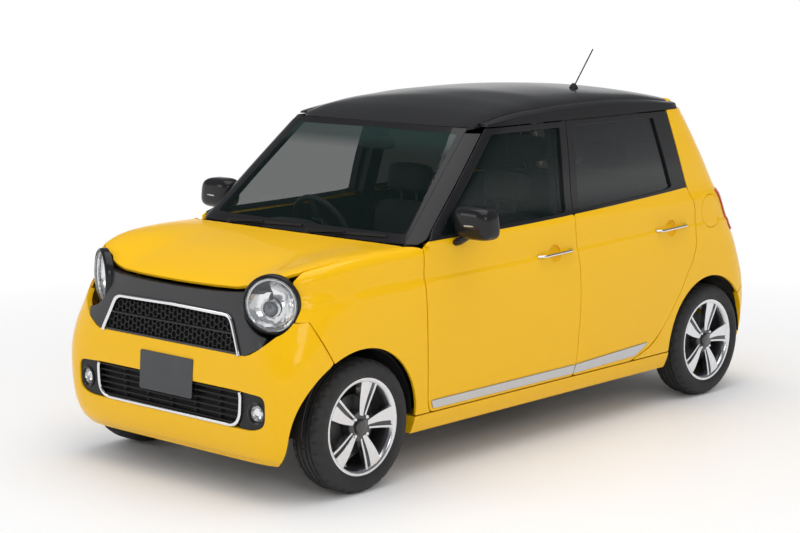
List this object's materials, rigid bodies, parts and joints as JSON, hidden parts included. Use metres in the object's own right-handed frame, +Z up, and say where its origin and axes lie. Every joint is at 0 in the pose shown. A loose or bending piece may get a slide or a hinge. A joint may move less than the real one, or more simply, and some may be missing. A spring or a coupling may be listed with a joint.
{
  "type": "kei car",
  "caption": "Small tall hatchback car with hinged doors, bonnet and tailgate, steered front wheels and a two-tone body.",
  "frame": {"origin": "on the ground under the middle of the car", "axes": "+Z up, +Y towards the rear of the car, +X towards the car's left side"},
  "size_m": [1.8176, 3.395, 1.7436],
  "materials": {
    "yellow_paint": "gloss",
    "black_paint": "gloss",
    "dark_plastic": "satin",
    "chassis_steel": "matte",
    "exhaust_steel": "brushed",
    "lamp_clear": "gloss",
    "lamp_red": "gloss",
    "green_glass": "gloss",
    "privacy_glass": "gloss",
    "seat_cloth": "matte",
    "tyre_rubber": "matte",
    "alloy": "machined"
  },
  "bodies": {
    "body": {"floor_pan": "chassis_steel", "front_frame": "chassis_steel", "sills": "yellow_paint", "a_pillars": "black_paint", "b_pillars": "black_paint", "cant_rails": "black_paint", "roof": "black_paint", "quarters": "yellow_paint", "front_wings": "yellow_paint", "front_bumper": "yellow_paint", "mask_panel": "dark_plastic", "upper_grille": "dark_plastic", "lower_grille": "dark_plastic", "headlamps": "lamp_clear", "fog_lamps": "lamp_clear", "windscreen": "green_glass", "cowl": "dark_plastic", "wipers": "dark_plastic", "rear_bumper": "yellow_paint", "tail_lamps": "lamp_red", "antenna": "dark_plastic", "dashboard": "dark_plastic", "front_seats": "seat_cloth", "rear_seat": "seat_cloth", "engine_block": "chassis_steel", "fuel_tank": "chassis_steel", "exhaust": "exhaust_steel", "rear_axle": "chassis_steel", "front_arms": "chassis_steel", "wheel_liners": "dark_plastic", "plate_bracket": "exhaust_steel"},
    "bonnet": {"bonnet": "yellow_paint"},
    "tailgate": {"tailgate": "yellow_paint", "rear_glass": "privacy_glass"},
    "front_door_left": {"front_door_left": "yellow_paint", "front_glass_left": "green_glass", "mirror_left": "black_paint"},
    "front_door_right": {"front_door_right": "yellow_paint", "front_glass_right": "green_glass", "mirror_right": "black_paint"},
    "rear_door_left": {"rear_door_left": "yellow_paint", "rear_glass_left": "privacy_glass"},
    "rear_door_right": {"rear_door_right": "yellow_paint", "rear_glass_right": "privacy_glass"},
    "knuckle_left": {"knuckle_left": "chassis_steel"},
    "knuckle_right": {"knuckle_right": "chassis_steel"},
    "wheel_front_left": {"tyre_front_left": "tyre_rubber", "wheel_front_left": "alloy"},
    "wheel_front_right": {"tyre_front_right": "tyre_rubber", "wheel_front_right": "alloy"},
    "wheel_rear_left": {"tyre_rear_left": "tyre_rubber", "wheel_rear_left": "alloy"},
    "wheel_rear_right": {"tyre_rear_right": "tyre_rubber", "wheel_rear_right": "alloy"},
    "steering_wheel": {"steering_wheel": "dark_plastic"},
    "fuel_lid": {"fuel_lid": "yellow_paint"}
  },
  "joints": [
    {"name": "front_door_left_hinge", "type": "hinge", "parent": "body", "child": "front_door_left", "pos_m": [0.7225, -0.8385, 0.6], "axis": [0, 0, -1], "range_deg": [0, 66]},
    {"name": "front_door_right_hinge", "type": "hinge", "parent": "body", "child": "front_door_right", "pos_m": [-0.7225, -0.8385, 0.6], "axis": [0, 0, 1], "range_deg": [0, 66]},
    {"name": "rear_door_left_hinge", "type": "hinge", "parent": "body", "child": "rear_door_left", "pos_m": [0.7225, 0.228, 0.6], "axis": [0, 0, -1], "range_deg": [0, 75]},
    {"name": "rear_door_right_hinge", "type": "hinge", "parent": "body", "child": "rear_door_right", "pos_m": [-0.7225, 0.228, 0.6], "axis": [0, 0, 1], "range_deg": [0, 75]},
    {"name": "bonnet_hinge", "type": "hinge", "parent": "body", "child": "bonnet", "pos_m": [0, -0.9005, 0.975], "axis": [-1, 0, 0], "range_deg": [0, 50]},
    {"name": "tailgate_hinge", "type": "hinge", "parent": "body", "child": "tailgate", "pos_m": [0, 1.222, 1.474], "axis": [1, 0, 0], "range_deg": [0, 82]},
    {"name": "fuel_lid_hinge", "type": "hinge", "parent": "body", "child": "fuel_lid", "pos_m": [0.7225, 1.207, 0.935], "axis": [0, 0, -1], "range_deg": [0, 85]},
    {"name": "steer_left", "type": "hinge", "parent": "body", "child": "knuckle_left", "pos_m": [0.6145, -1.2575, 0.281], "axis": [-0.1736, 0, 0.9848], "range_deg": [-36, 36]},
    {"name": "steer_right", "type": "hinge", "parent": "body", "child": "knuckle_right", "pos_m": [-0.6145, -1.2575, 0.281], "axis": [0.1736, 0, 0.9848], "range_deg": [-36, 36]},
    {"name": "steering_wheel_turn", "type": "hinge", "parent": "body", "child": "steering_wheel", "pos_m": [-0.33, -0.4275, 0.925], "axis": [0, 0.9135, 0.4067], "range_deg": [-545, 545]},
    {"name": "spin_front_left", "type": "hinge", "parent": "knuckle_left", "child": "wheel_front_left", "pos_m": [0.6525, -1.2575, 0.281], "axis": [1, 0, 0], "continuous": true},
    {"name": "spin_front_right", "type": "hinge", "parent": "knuckle_right", "child": "wheel_front_right", "pos_m": [-0.6525, -1.2575, 0.281], "axis": [1, 0, 0], "continuous": true},
    {"name": "spin_rear_left", "type": "hinge", "parent": "body", "child": "wheel_rear_left", "pos_m": [0.6525, 1.2625, 0.281], "axis": [1, 0, 0], "continuous": true},
    {"name": "spin_rear_right", "type": "hinge", "parent": "body", "child": "wheel_rear_right", "pos_m": [-0.6525, 1.2625, 0.281], "axis": [1, 0, 0], "continuous": true}
  ],
  "couplings": [
    {"joint": "steer_right", "follows": "steer_left", "ratio": 1},
    {"joint": "steering_wheel_turn", "follows": "steer_left", "ratio": 15}
  ]
}
